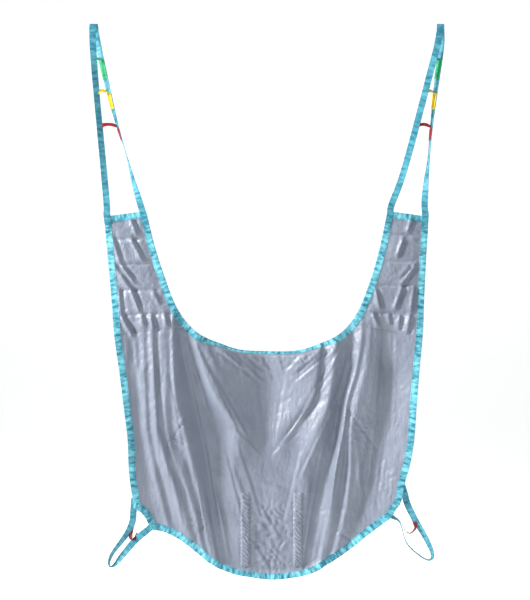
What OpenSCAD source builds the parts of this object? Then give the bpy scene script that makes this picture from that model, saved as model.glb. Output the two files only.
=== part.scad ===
// Patient lift sling with divided legs, hanging from the end loops of its two leg straps.
// Millimetres: X to the right, Y away from the viewer, Z up. The origin is midway between the two
// end loops, on the line along which their webbing rests on the hooks of a hoist.

/* [Webbing] */
// Width of the strap webbing and of the folded edge binding
tape_w = 25; // [20:1:27]
// Thickness of the strap webbing
webbing_t = 2; // [1.5:0.1:2.5]
// Diameter of the hook that the end loops are made for
hook_d = 12; // [10:1:14]
// Width of the coloured loop tapes
loop_tape_w = 20; // [15:1:22]
// Thickness of the coloured loop tapes
loop_tape_t = 1.2; // [1:0.1:1.5]
// Distance from the hooks down to the first coloured loop
first_loop = 112; // [105:1:118]
// Distance from one coloured loop to the next
loop_pitch = 106; // [98:1:110]

/* [Fabric] */
// Thickness of the back panel
panel_t = 2; // [1.5:0.1:3]
// Thickness of each outer layer of a leg section
layer_t = 1; // [0.8:0.1:1.5]
// Thickness of the padding in a leg section
padding_t = 3; // [2:0.5:4]
// How far the middle of the body hangs back from the straps
seat_depth = 50; // [20:1:60]
// How far the long sides hang forward of the straps
side_lift = 22; // [10:1:25]

/* [Head support] */
// Distance between the middles of the two stay channels
stay_spacing = 165; // [140:1:190]
// Width of a stay channel
channel_w = 30; // [28:1:36]
// Length of a stay channel
channel_len = 205; // [180:1:210]
// Width of the plastic stay
stay_w = 22; // [16:1:24]
// Thickness of the plastic stay
stay_t = 1.6; // [1:0.1:2]

/* [Folds] */
// Height of the line where the straps meet the leg sections
strap_fold_z = -570; // [-572:1:-568]
// Height of the line where the leg sections fold on the body
seat_fold_z = -900; // [-905:1:-895]
// Clearance on each side of a fold line
fold_gap = 4; // [3:0.5:5]

/* [Hidden] */

turquoise = [0.33, 0.75, 0.84];
binding_blue = [0.38, 0.80, 0.88];
satin_grey = [0.56, 0.58, 0.64];
wadding_white = [0.93, 0.93, 0.91];
loop_green = [0.05, 0.66, 0.38];
loop_yellow = [0.92, 0.82, 0.15];
loop_red = [0.78, 0.09, 0.18];
stay_white = [0.88, 0.88, 0.86];
thread_blue = [0.20, 0.55, 0.66];

flange_t = 0.9;                     // one side of the folded binding
spine_t = 1;                        // the fold of the binding, at the fabric's edge
ease = 0.15;                        // air between the fabric and the binding around it
leg_t = 2 * layer_t + padding_t;    // a leg section, all layers
thread_t = 0.6;                     // thread standing proud of the webbing
body_half_w = 460;                  // half the body's width, for the hollow it hangs in
body_middle_x = 16;                 // the body hangs this far to the right
leg_bottom_z = seat_fold_z + fold_gap;
body_top_z = seat_fold_z - fold_gap;
strap_end_z = strap_fold_z + fold_gap;

// Outlines as [x, z], along the outer line of the binding.
aperture_edge = [
    [-376, -583], [-350, -690], [-318, -790], [-285, -875], [-250, -930], [-205, -970], [-145, -997],
    [-80, -1018], [10, -1023], [100, -1019], [165, -998], [215, -975], [255, -942], [290, -888],
    [325, -798], [352, -705], [378, -583]
];
left_side = [
    [-513, -560], [-504, -640], [-495, -740], [-484, -860], [-474, -970], [-458, -1080],
    [-444, -1190], [-431, -1300], [-427, -1400], [-412, -1510]
];
right_side = [
    [508, -560], [504, -640], [498, -740], [492, -860], [486, -970], [475, -1080], [466, -1190],
    [458, -1300], [444, -1380], [431, -1425], [424, -1468]
];
left_corner = [[-412, -1510], [-392, -1521], [-374, -1544], [-362, -1575]];
right_corner = [[424, -1468], [415, -1496], [402, -1514], [391, -1536]];
head_edge = [
    [-362, -1575], [-302, -1591], [-240, -1631], [-177, -1682], [-114, -1712], [-50, -1725], [15, -1733],
    [80, -1727], [140, -1714], [195, -1684], [260, -1642], [320, -1592], [391, -1536]
];
leg_top_outer_z = -601;
leg_top_inner_z = -583;

// The two runs of each strap, from the fold over the hook down to the leg section, as
// [x, y, z, twist]: at twist 0 the tape faces the viewer, at 90 it shows its edge.
run_y = hook_d / 2 + webbing_t / 2;
left_front_run = [
    [-543, -run_y, -20, 0], [-541, -7, -80, 18], [-531, -6, -210, 28], [-519, -4, -340, 28],
    [-507, -2, -470, 22], [-499, 0, strap_end_z, 0]
];
left_rear_run = [
    [-536, run_y, -20, 0], [-523, 7, -80, 25], [-496, 6, -200, 42], [-468, 5, -310, 66],
    [-440, 3, -400, 83], [-416, 1, -490, 50], [-393, 0, strap_end_z, 0]
];
right_front_run = [
    [541, -run_y, -20, 0], [532, -7, -70, 5], [515, -6, -136, 8], [484, -5, -255, 12],
    [447, -4, -395, 14], [419, -2, -490, 14], [390, 0, strap_end_z, 0]
];
right_rear_run = [
    [547, run_y, -20, 0], [546, 7, -80, 38], [531, 6, -190, 50], [517, 5, -310, 75],
    [507, 3, -420, 80], [498, 1, -500, 45], [494, 0, strap_end_z, 0]
];

// Shoulder loops: from the sewn end at the side, round the loop, to the sewn end at the head edge.
shoulder_y = -9;
left_shoulder_route = [
    [-415, shoulder_y, -1522, 0], [-418, shoulder_y, -1553, 5], [-434, shoulder_y, -1588, 25],
    [-459, shoulder_y, -1622, 60], [-480, shoulder_y, -1650, 85], [-490, shoulder_y, -1674, 90],
    [-490, shoulder_y, -1688, 90], [-483, shoulder_y, -1692, 95], [-471, shoulder_y, -1684, 115],
    [-452, shoulder_y, -1661, 150], [-410, shoulder_y, -1611, 175], [-376, shoulder_y, -1582, 180]
];
right_shoulder_route = [
    [435, shoulder_y, -1484, 0], [443, shoulder_y, -1506, 5], [457, shoulder_y, -1534, 20],
    [475, shoulder_y, -1566, 30], [497, shoulder_y, -1604, 40], [513, shoulder_y, -1638, 55],
    [518, shoulder_y, -1658, 70], [513, shoulder_y, -1669, 85], [502, shoulder_y, -1671, 90],
    [482, shoulder_y, -1661, 95], [456, shoulder_y, -1640, 95], [438, shoulder_y, -1620, 95],
    [429, shoulder_y, -1599, 95], [422, shoulder_y, -1572, 95], [415, shoulder_y, -1553, 100],
    [405, shoulder_y, -1543, 110]
];
left_shoulder_ends_at = [
    [[-411, shoulder_y, -1478, 0], [-413, shoulder_y, -1505, 0]],
    [[-343, -0.5, -1556, 180], [-364, -3, -1572, 180]]
];
right_shoulder_ends_at = [
    [[421, shoulder_y, -1436, 0], [430, shoulder_y, -1465, 0]],
    [[372, -0.5, -1524, 180], [390, -1, -1535, 170]]
];
// How far the tape's cut is slanted, as a share of its width, where a shoulder loop leaves the body.
// The cut lies along the line that the loop swings about.
left_slant = 1.3;
right_slant = -1.9;

// Red tapes across the shoulder loops: sewn end, hanging bight, sewn end.
left_shoulder_red_route = [
    [-418, shoulder_y - 3, -1566, 10], [-424, shoulder_y - 2, -1583, 20], [-428, shoulder_y - 5, -1598, 30],
    [-423, shoulder_y - 9, -1608, 60], [-415, shoulder_y - 7, -1609, 120], [-405, shoulder_y - 3, -1601, 160],
    [-396, shoulder_y - 2, -1592, 178]
];
right_shoulder_red_route = [
    [457, shoulder_y + 3, -1540, 25], [463, shoulder_y + 2, -1557, 35], [464, shoulder_y, -1572, 70],
    [451, shoulder_y, -1587, 90], [438, shoulder_y, -1585, 90], [430, shoulder_y, -1575, 92],
    [424, shoulder_y, -1562, 95]
];
red_tape_w = 14;

// ---- Curves -------------------------------------------------------------------------------------

// A point between b and c on the smooth curve through a, b, c and d.
function spline_point(a, b, c, d, t) =
    0.5 * (2 * b + (c - a) * t + (2 * a - 5 * b + 4 * c - d) * t * t + (3 * b - a - 3 * c + d) * t * t * t);

// A smooth curve through the points, with n steps from each point to the next.
function smooth(p, n) = [
    for (i = [0:len(p) - 2], k = [0:n - 1])
        spline_point(p[max(i - 1, 0)], p[i], p[i + 1], p[min(i + 2, len(p) - 1)], k / n),
    p[len(p) - 1]
];

function reversed(p) = [for (i = [len(p) - 1:-1:0]) p[i]];
function unit(v) = v / max(norm(v), 0.0001);
function xyz(p) = [p[0], p[1], p[2]];
function ramp(v, from, to) = let (t = min(1, max(0, (v - from) / (to - from)))) t * t * (3 - 2 * t);

// Distance along a line of points, at each of its points.
function distances(p) = [
    for (i = 0, s = 0; i < len(p); s = s + (i + 1 < len(p) ? norm(p[i + 1] - p[i]) : 0), i = i + 1) s
];

// The same line, divided into n equal stretches.
function divided(p, n) = let (s = distances(p), total = s[len(s) - 1]) [
    for (k = [0:n])
        let (d = total * k / n,
             i = min(len(p) - 2, len([for (v = s) if (v <= d) 1]) - 1))
        p[i] + (p[i + 1] - p[i]) * (d - s[i]) / (s[i + 1] - s[i])
];

// The point where a line, given by its coordinate number `up` for height, crosses the height z.
function crossing(p, up, z) =
    let (i = [for (k = [0:len(p) - 2]) if ((p[k][up] - z) * (p[k + 1][up] - z) <= 0) k][0])
    p[i] + (p[i + 1] - p[i]) * (z - p[i][up]) / (p[i + 1][up] - p[i][up]);

// The part of a falling outline between two heights.
end_room = 13;      // the last stretch is at least this high, so that a level end doesn't fold over
function part_of(p, z_high, z_low) = [
    crossing(p, 1, z_high),
    for (q = p) if (q.y < z_high - end_room && q.y > z_low + end_room) q,
    crossing(p, 1, z_low)
];

// Square to an outline, on its left when it is followed.
function left_of(p, i) = let (d = unit(p[min(i + 1, len(p) - 1)] - p[max(i - 1, 0)])) [-d.y, d.x];

// The same at every point. At an end on a fold line it is level, and longer to keep the width.
function normals(p) = [
    for (i = [0:len(p) - 1])
        let (n = left_of(p, i)) (i == 0 || i == len(p) - 1) ? [1 / n.x, 0] : n
];

// An outline moved sideways along its normals.
function moved(p, n, d) = [for (i = [0:len(p) - 1]) p[i] + n[i] * d];

// ---- The hang of the fabric ---------------------------------------------------------------------

// How far back the fabric hangs: nothing at the leg sections, a hollow in the middle of the body.
hollow_from = 930;
hollow_to = 1250;
head_from = 1350;
head_rise = 0.0014;     // share of the hollow lost for each millimetre towards the head edge
function hang(x, z) =
    let (u = min(1, abs(x - body_middle_x) / body_half_w),
         depth = ramp(-z, hollow_from, hollow_to) * (1 - head_rise * max(0, -z - head_from)))
    depth * ((seat_depth + side_lift) * pow(1 - u * u, 2) - side_lift);

// ---- Solids -------------------------------------------------------------------------------------

// A solid through a row of rings of points, which turn anticlockwise seen along the row. A ring goes
// along one face of a strip and comes back along the other, so pairs of its points close the ends.
module sweep(rings) {
    m = len(rings[0]);
    n = len(rings);
    end = (n - 1) * m;
    polyhedron(
        points = [for (ring = rings, p = ring) p],
        faces = [
            for (k = [0:m / 2 - 2])
                let (a = k, b = k + 1, c = m - 2 - k, d = m - 1 - k)
                each [[c, b, a], [d, c, a], [end + a, end + b, end + c], [end + a, end + c, end + d]],
            for (i = [0:n - 2], k = [0:m - 1])
                let (a = i * m + k, b = i * m + (k + 1) % m)
                each [[a, b, a + m], [b, b + m, a + m]]
        ]
    );
}

// Which way a tape's width runs at point i of its line.
function ahead(line, i) = unit(xyz(line[min(i + 1, len(line) - 1)]) - xyz(line[max(i - 1, 0)]));
function across(line, i) =
    let (twist = line[i][3], u = [cos(twist), -sin(twist), 0], along = ahead(line, i))
    unit(u - along * (u * along));

// A tape along a line of [x, y, z, twist]. Its two ends can be cut slanted.
module tape(line, width, thickness, start_slant = 0, end_slant = 0) {
    last = len(line) - 1;
    sweep([
        for (i = [0:last])
            let (slant = i == 0 ? start_slant : i == last ? end_slant : 0,
                 w = (across(line, i) + ahead(line, i) * slant) * width / 2,
                 h = cross(ahead(line, i), across(line, i)) * thickness / 2,
                 c = xyz(line[i]))
            [c - w - h, c - w + h, c + w + h, c + w - h]
    ]);
}

// Folded tape around the fabric's edge. The fabric lies on the side that the normals point to, which
// is the left of the edge line at side 1 and its right at side -1.
module binding(edge, normal, fabric_t, side) {
    h = fabric_t / 2 + ease + flange_t;
    g = fabric_t / 2 + ease;
    profile = [[tape_w, h], [0, h], [0, -h], [tape_w, -h], [tape_w, -g], [spine_t, -g], [spine_t, g], [tape_w, g]];
    sweep([
        for (i = [0:len(edge) - 1])
            [for (q = side > 0 ? profile : reversed(profile))
                let (p = edge[i] + normal[i] * side * q.x) [p.x, hang(p.x, p.y) + q.y, p.y]]
    ]);
}

// A flat plate in the X-Z plane, from y_front back through its thickness.
module plate(outline, y_front, thickness) {
    translate([0, y_front + thickness, 0]) rotate([90, 0, 0]) linear_extrude(thickness) polygon(outline);
}

// Thread: a block of three short bars across a tape, on its front.
bar_pitch = 3;
bar_h = 1.2;
module bar_tack(x, y, z, turn, width) {
    for (row = [-1:1])
        translate([x, y - thread_t / 2, z]) rotate([0, turn, 0]) translate([0, 0, bar_pitch * row])
            cube([width, thread_t, bar_h], center = true);
}

// ---- Edges that the pieces share ----------------------------------------------------------------

aperture_line = smooth(aperture_edge, 4);
aperture_low = floor(len(aperture_line) / 2);
left_inner_line = [for (i = [0:aperture_low]) aperture_line[i]];
right_inner_line = [for (i = [len(aperture_line) - 1:-1:aperture_low]) aperture_line[i]];
left_side_line = smooth(left_side, 3);
right_side_line = smooth(right_side, 3);

// Stretches of the body's outer edge, each divided for its binding.
side_steps = 15;
corner_steps = 2;
head_steps = 22;
body_left = divided(part_of(left_side_line, body_top_z, left_corner[0].y), side_steps);
body_right = divided(part_of(right_side_line, body_top_z, right_corner[0].y), side_steps);
body_steps = 2 * side_steps + 2 * corner_steps + head_steps;

function from_second(p) = [for (i = [1:len(p) - 1]) p[i]];
body_outer = concat(
    body_left,
    from_second(divided(smooth(left_corner, 2), corner_steps)),
    from_second(divided(smooth(head_edge, 4), head_steps)),
    from_second(divided(reversed(smooth(right_corner, 2)), corner_steps)),
    from_second(reversed(body_right))
);
body_outer_normals = normals(body_outer);
body_inner = divided(concat(
    [crossing(left_inner_line, 1, body_top_z)],
    [for (q = aperture_line) if (q.y < body_top_z - end_room) q],
    [crossing(right_inner_line, 1, body_top_z)]
), body_steps);
body_inner_normals = normals(body_inner);

// ---- Straps and coloured loops ------------------------------------------------------------------

run_steps = 4;
fold_steps = 6;

function strap_line(front, rear) = concat(
    reversed(smooth(front, run_steps)),
    [for (k = [0:fold_steps])
        let (a = 180 * k / fold_steps, x = front[0][0] + (rear[0][0] - front[0][0]) * k / fold_steps)
        [x, -run_y * cos(a), -hook_d / 2 + run_y * sin(a), 0]],
    smooth(rear, run_steps)
);

// The point of a run at a height, with the directions across the tape and out of its face that
// looks into the loop: inwards is 1 on the front run and -1 on the rear run.
function run_point(run, z) = crossing(smooth(run, run_steps), 2, z);
function run_across(run, z) = let (t = run_point(run, z)[3]) [cos(t), -sin(t), 0];
function run_inward(run, z, inwards) = let (t = run_point(run, z)[3]) [sin(t), cos(t), 0] * inwards;
function on_run(run, z, inwards, off) =
    let (c = xyz(run_point(run, z)) + run_inward(run, z, inwards) * (webbing_t / 2 + off))
    [c.x, c.y, c.z, run_point(run, z)[3]];

function loop_z(number) = -first_loop - loop_pitch * number;
loop_ends = [56, 46, 38];       // length of the sewn ends of the green, yellow and red loop
loop_rise = [5, 11, 12];        // height of their bights
sewn_off = 0.5;                 // the coloured tapes stand this far off the twisted webbing
bight_steps = 8;
end_steps = 3;

// A coloured tape: sewn down the inside of one run, over in a bight, and down the other run.
function coloured_line(front, rear, number) =
    let (z = loop_z(number), off = loop_tape_t / 2 + sewn_off, length = loop_ends[number],
         a = on_run(front, z, 1, off), b = on_run(rear, z, -1, off))
    concat(
        [for (k = [0:end_steps - 1]) on_run(front, z - length * (1 - k / end_steps), 1, off)],
        [for (k = [0:bight_steps])
            let (t = k / bight_steps, share = (1 - cos(180 * t)) / 2, tilt = 60 * sin(180 * t) * min(1, (b.x - a.x) / 40))
            a + (b - a) * share + [0, 0, loop_rise[number] * sin(180 * t), tilt]],
        [for (k = [1:end_steps]) on_run(rear, z - length * k / end_steps, -1, off)]
    );

module coloured_loop(front, rear, number) {
    tape(coloured_line(front, rear, number), loop_tape_w, loop_tape_t);
}

module strap_stitching(front, rear) {
    off = loop_tape_t + sewn_off + thread_t / 2 + 0.1;
    for (number = [0:2], row = [0:2]) {
        z = loop_z(number) - loop_ends[number] + 6 + bar_pitch * row;
        tape([on_run(front, z - bar_h / 2, 1, off), on_run(front, z + bar_h / 2, 1, off)], loop_tape_w - 6, thread_t);
        tape([on_run(rear, z + bar_h / 2, -1, off), on_run(rear, z - bar_h / 2, -1, off)], loop_tape_w - 6, thread_t);
    }
}

module left_strap() { color(turquoise) tape(strap_line(left_front_run, left_rear_run), tape_w, webbing_t); }
module right_strap() { color(turquoise) tape(strap_line(right_front_run, right_rear_run), tape_w, webbing_t); }
module left_strap_stitching() { color(thread_blue) strap_stitching(left_front_run, left_rear_run); }
module right_strap_stitching() { color(thread_blue) strap_stitching(right_front_run, right_rear_run); }
module left_green_loop() { color(loop_green) coloured_loop(left_front_run, left_rear_run, 0); }
module left_yellow_loop() { color(loop_yellow) coloured_loop(left_front_run, left_rear_run, 1); }
module left_red_loop() { color(loop_red) coloured_loop(left_front_run, left_rear_run, 2); }
module right_green_loop() { color(loop_green) coloured_loop(right_front_run, right_rear_run, 0); }
module right_yellow_loop() { color(loop_yellow) coloured_loop(right_front_run, right_rear_run, 1); }
module right_red_loop() { color(loop_red) coloured_loop(right_front_run, right_rear_run, 2); }

// ---- Leg sections: side is -1 on the left and 1 on the right ------------------------------------

layer_inset = spine_t + ease;

function inner_line(side) = side < 0 ? left_inner_line : right_inner_line;
function outer_line(side) = side < 0 ? left_side_line : right_side_line;

// The outline of a leg section's fabric, inside the bindings.
function leg_outline(side) =
    let (inner = part_of(inner_line(side), leg_top_inner_z - layer_inset, leg_bottom_z),
         outer = part_of(outer_line(side), leg_top_outer_z - layer_inset, leg_bottom_z))
    concat(
        moved(inner, normals(inner), side * layer_inset),
        reversed(moved(outer, normals(outer), -side * layer_inset))
    );

module leg_layer(side, y_front, thickness) {
    plate(leg_outline(side), y_front, thickness);
}

module leg_outer_binding(side) {
    edge = part_of(outer_line(side), strap_fold_z - fold_gap, leg_bottom_z);
    binding(edge, normals(edge), leg_t, -side);
}

inner_corner_z = leg_top_inner_z - 1;
module leg_inner_binding(side) {
    edge = part_of(inner_line(side), inner_corner_z, leg_bottom_z);
    binding(edge, normals(edge), leg_t, side);
}

// The end binding lies between the two long bindings.
module leg_end_binding(side) {
    outer = crossing(outer_line(side), 1, leg_top_outer_z);
    inner = crossing(inner_line(side), 1, leg_top_inner_z);
    along = unit(inner - outer);
    edge = divided([outer + along * (tape_w + 1), inner - along * (tape_w + 4)], 3);
    binding(edge, [for (i = [0:3]) left_of(edge, i)], leg_t, side < 0 ? -1 : 1);
}

module leg_stitching(side) {
    y = -leg_t / 2 - ease - flange_t;
    for (z = [leg_top_inner_z - 14, leg_top_inner_z - 44]) {
        bar_tack(crossing(outer_line(side), 1, z - 10).x - side * tape_w / 2, y, z - 10, 0, tape_w - 7);
        bar_tack(crossing(inner_line(side), 1, z).x + side * tape_w / 2, y, z, side * 14, tape_w - 7);
    }
}

module left_leg_front_layer() { color(satin_grey) leg_layer(-1, -leg_t / 2, layer_t); }
module left_leg_padding() { color(wadding_white) leg_layer(-1, -padding_t / 2, padding_t); }
module left_leg_back_layer() { color(satin_grey) leg_layer(-1, padding_t / 2, layer_t); }
module left_leg_outer_binding() { color(binding_blue) leg_outer_binding(-1); }
module left_leg_inner_binding() { color(binding_blue) leg_inner_binding(-1); }
module left_leg_end_binding() { color(binding_blue) leg_end_binding(-1); }
module left_leg_stitching() { color(thread_blue) leg_stitching(-1); }
module right_leg_front_layer() { color(satin_grey) leg_layer(1, -leg_t / 2, layer_t); }
module right_leg_padding() { color(wadding_white) leg_layer(1, -padding_t / 2, padding_t); }
module right_leg_back_layer() { color(satin_grey) leg_layer(1, padding_t / 2, layer_t); }
module right_leg_outer_binding() { color(binding_blue) leg_outer_binding(1); }
module right_leg_inner_binding() { color(binding_blue) leg_inner_binding(1); }
module right_leg_end_binding() { color(binding_blue) leg_end_binding(1); }
module right_leg_stitching() { color(thread_blue) leg_stitching(1); }

// ---- Body ---------------------------------------------------------------------------------------

panel_rows = 8;

// One column of the body's fabric, from the aperture out to the long edge. Its second and second to
// last points lie where the bindings end.
function body_column(i) =
    let (a = body_inner[i], na = -body_inner_normals[i], b = body_outer[i], nb = body_outer_normals[i],
         from = a + na * tape_w, to = b + nb * tape_w)
    concat(
        [a + na * layer_inset],
        [for (k = [0:panel_rows]) from + (to - from) * k / panel_rows],
        [b + nb * layer_inset]
    );

module back_panel() {
    color(satin_grey) sweep([
        for (i = [0:body_steps])
            let (column = body_column(i))
            concat(
                [for (p = column) [p.x, hang(p.x, p.y) + panel_t / 2, p.y]],
                [for (p = reversed(column)) [p.x, hang(p.x, p.y) - panel_t / 2, p.y]]
            )
    ]);
}

// Binding on the body's outer edge, from one of its points to another.
module outer_binding(first, last) {
    color(binding_blue)
        binding([for (i = [first:last]) body_outer[i]], [for (i = [first:last]) body_outer_normals[i]], panel_t, 1);
}

left_corner_at = side_steps;
head_at = left_corner_at + corner_steps;
right_corner_at = head_at + head_steps;
right_side_at = right_corner_at + corner_steps;

module aperture_binding() { color(binding_blue) binding(body_inner, body_inner_normals, panel_t, -1); }
module left_side_binding() { outer_binding(0, left_corner_at); }
module left_corner_binding() { outer_binding(left_corner_at, head_at); }
module head_binding() { outer_binding(head_at, right_corner_at); }
module right_corner_binding() { outer_binding(right_corner_at, right_side_at); }
module right_side_binding() { outer_binding(right_side_at, body_steps); }

// ---- Head support -------------------------------------------------------------------------------

channel_top_z = -1480;
channel_step = 15;
channel_cloth = 1;
channel_off = 0.5;      // the channel and the stay stand this far off the curved panel

// A strip that runs down the front of the body at x, with a profile of [across, forward].
module body_strip(x, profile, z_top, length) {
    count = ceil(length / channel_step);
    sweep([
        for (i = [0:count])
            let (z = z_top - length * i / count)
            [for (q = profile) [x + q.x, hang(x + q.x, z) - panel_t / 2 - channel_off - q.y, z]]
    ]);
}

module stay_channel(side) {
    w = channel_w / 2;
    room_w = stay_w / 2 + 0.6;
    room_t = stay_t + 0.6;
    color(satin_grey) body_strip(body_middle_x + side * stay_spacing / 2, [
        [-w, 0], [-w, room_t + channel_cloth], [w, room_t + channel_cloth], [w, 0],
        [room_w, 0], [room_w, room_t], [-room_w, room_t], [-room_w, 0]
    ], channel_top_z, channel_len);
}

stay_play = 6;
module stay(side) {
    w = stay_w / 2;
    color(stay_white) body_strip(body_middle_x + side * stay_spacing / 2,
        [[-w, 0.3], [-w, 0.3 + stay_t], [w, 0.3 + stay_t], [w, 0.3]],
        channel_top_z - stay_play, channel_len - 2 * stay_play);
}

module left_stay_channel() { stay_channel(-1); }
module right_stay_channel() { stay_channel(1); }
module left_stay() { stay(-1); }
module right_stay() { stay(1); }

// ---- Shoulder loops -----------------------------------------------------------------------------

module shoulder_ends(pair, slant) {
    tape(pair[0], tape_w, webbing_t, 0, slant);
    tape(pair[1], tape_w, webbing_t);
}

module shoulder_loop(route, slant) {
    tape(smooth(route, 3), tape_w, webbing_t, slant, 0);
}

module left_shoulder_ends() { color(turquoise) shoulder_ends(left_shoulder_ends_at, left_slant); }
module right_shoulder_ends() { color(turquoise) shoulder_ends(right_shoulder_ends_at, right_slant); }

tack_off = 1.6;       // clear of the binding, which slopes across the tack
module shoulder_stitching() {
    color(thread_blue)
        for (at = [[-400, -1490, 0], [-350, -1562, 25], [412, -1450, 15], [372, -1534, -40]])
            bar_tack(at[0], hang(at[0], at[1]) - panel_t / 2 - ease - flange_t - tack_off, at[1], at[2], 16);
}

module left_shoulder_loop() { color(turquoise) shoulder_loop(left_shoulder_route, left_slant); }
module right_shoulder_loop() { color(turquoise) shoulder_loop(right_shoulder_route, right_slant); }
module left_shoulder_red_loop() { color(loop_red) tape(smooth(left_shoulder_red_route, 3), red_tape_w, loop_tape_t); }
module right_shoulder_red_loop() { color(loop_red) tape(smooth(right_shoulder_red_route, 3), red_tape_w, loop_tape_t); }

// ---- Nodes --------------------------------------------------------------------------------------

left_strap();
left_strap_stitching();
left_green_loop();
left_yellow_loop();
left_red_loop();
right_strap();
right_strap_stitching();
right_green_loop();
right_yellow_loop();
right_red_loop();
left_leg_front_layer();
left_leg_padding();
left_leg_back_layer();
left_leg_outer_binding();
left_leg_inner_binding();
left_leg_end_binding();
left_leg_stitching();
right_leg_front_layer();
right_leg_padding();
right_leg_back_layer();
right_leg_outer_binding();
right_leg_inner_binding();
right_leg_end_binding();
right_leg_stitching();
back_panel();
aperture_binding();
left_side_binding();
right_side_binding();
left_corner_binding();
right_corner_binding();
head_binding();
left_stay_channel();
right_stay_channel();
left_stay();
right_stay();
left_shoulder_ends();
right_shoulder_ends();
shoulder_stitching();
left_shoulder_loop();
left_shoulder_red_loop();
right_shoulder_loop();
right_shoulder_red_loop();
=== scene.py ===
"""Looks of a patient lift sling that hangs by its two leg straps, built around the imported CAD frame.

Lengths in this file are millimetres and angles degrees. They turn into metres when a mesh is made.
X runs to the right, Y away from the camera and Z up, as in the CAD model.
"""
import math

import bpy
import numpy as np
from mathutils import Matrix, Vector


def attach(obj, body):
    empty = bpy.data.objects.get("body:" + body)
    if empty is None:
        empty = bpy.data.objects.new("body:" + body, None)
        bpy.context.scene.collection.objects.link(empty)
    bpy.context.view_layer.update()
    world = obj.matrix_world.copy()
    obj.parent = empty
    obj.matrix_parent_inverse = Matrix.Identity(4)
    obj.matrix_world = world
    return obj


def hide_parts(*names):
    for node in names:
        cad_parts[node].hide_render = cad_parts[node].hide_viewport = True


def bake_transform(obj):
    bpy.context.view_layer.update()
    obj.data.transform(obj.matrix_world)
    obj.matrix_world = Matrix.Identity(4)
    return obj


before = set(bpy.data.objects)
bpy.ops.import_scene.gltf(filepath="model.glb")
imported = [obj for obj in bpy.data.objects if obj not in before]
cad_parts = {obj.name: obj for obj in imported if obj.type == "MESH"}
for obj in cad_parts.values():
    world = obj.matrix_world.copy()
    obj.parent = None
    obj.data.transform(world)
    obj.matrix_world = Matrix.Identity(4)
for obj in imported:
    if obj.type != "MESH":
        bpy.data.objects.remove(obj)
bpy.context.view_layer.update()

MM = 0.001
TURN = 2 * math.pi

# ---- Sizes that the pieces share ----

TAPE_W = 20.5  # under the 25 mm of new tape, which its stitching draws in
WEBBING_T = 2
LOOP_TAPE_W = 20
RED_TAPE_W = 14
LOOP_TAPE_T = 1.2
HOOK_R = 6
PANEL_HALF = 0.6  # half the thickness of the satin
LEG_EDGE_HALF = 2.4  # half the thickness of a leg section where it is sewn down
LEG_PUFF = 4.2  # how far the wadding swells between two rows of quilting, on each side
BINDING_T = 1.0  # one flange of the folded binding
MIDDLE_X = 16  # the body hangs this far to the right

# Outer lines of the binding, as (x, z)
APERTURE_EDGE = [
    (-376, -583), (-350, -690), (-318, -790), (-285, -875), (-250, -930), (-205, -970), (-145, -997),
    (-80, -1018), (10, -1023), (100, -1019), (165, -998), (215, -975), (255, -942), (290, -888),
    (325, -798), (352, -705), (378, -583),
]
LEFT_SIDE = [
    (-513, -560), (-504, -640), (-495, -740), (-484, -860), (-474, -970), (-458, -1080),
    (-444, -1190), (-431, -1300), (-427, -1400), (-412, -1510),
]
RIGHT_SIDE = [
    (508, -560), (504, -640), (498, -740), (492, -860), (486, -970), (475, -1080), (466, -1190),
    (458, -1300), (444, -1380), (431, -1425), (424, -1468),
]
LEFT_CORNER = [(-412, -1510), (-392, -1521), (-374, -1544), (-362, -1575)]
RIGHT_CORNER = [(391, -1536), (402, -1514), (415, -1496), (424, -1468)]
HEAD_EDGE = [
    (-362, -1575), (-302, -1591), (-240, -1631), (-177, -1682), (-114, -1712), (-50, -1725), (15, -1733),
    (80, -1727), (140, -1714), (195, -1684), (260, -1642), (320, -1592), (391, -1536),
]
LEG_TOP_OUTER_Z = -601
LEG_TOP_INNER_Z = -583

# Seams between the leg sections and the body: height at the outer and at the inner edge
LEFT_SEAM_Z = (-970, -944)
RIGHT_SEAM_Z = (-974, -936)

# Rows of quilting across the leg sections
LEFT_ROWS_Z = (-670, -748, -830, -901)
RIGHT_ROWS_Z = (-658, -739, -814, -898)

# Strap runs from the fold over the hook down to the leg section, as (x, y, z, twist)
RUN_Y = HOOK_R + WEBBING_T / 2
LEFT_FRONT_RUN = [
    (-543, -RUN_Y, -20, 0), (-541, -7, -80, -12), (-531, -6, -210, -26), (-519, -4, -340, -26),
    (-507, -2, -470, -16), (-499, 0, -566, 0),
]
LEFT_REAR_RUN = [
    (-536, RUN_Y, -20, 0), (-523, 7, -80, 25), (-496, 6, -200, 42), (-468, 5, -310, 66),
    (-440, 3, -400, 83), (-416, 1, -490, 50), (-393, 0, -566, 0),
]
RIGHT_FRONT_RUN = [
    (541, -RUN_Y, -20, 0), (532, -7, -70, 5), (515, -6, -136, 8), (484, -5, -255, 12),
    (447, -4, -395, 14), (419, -2, -490, 14), (390, 0, -566, 0),
]
RIGHT_REAR_RUN = [
    (547, RUN_Y, -20, 0), (546, 7, -80, 38), (531, 6, -190, 50), (517, 5, -310, 75),
    (507, 3, -420, 80), (498, 1, -500, 45), (494, 0, -566, 0),
]

# Coloured loops: name, height, length of the sewn ends, height of the bight
COLOURED_LOOPS = [("green", -112, 56, 5), ("yellow", -218, 46, 11), ("red", -324, 38, 12)]

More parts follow.
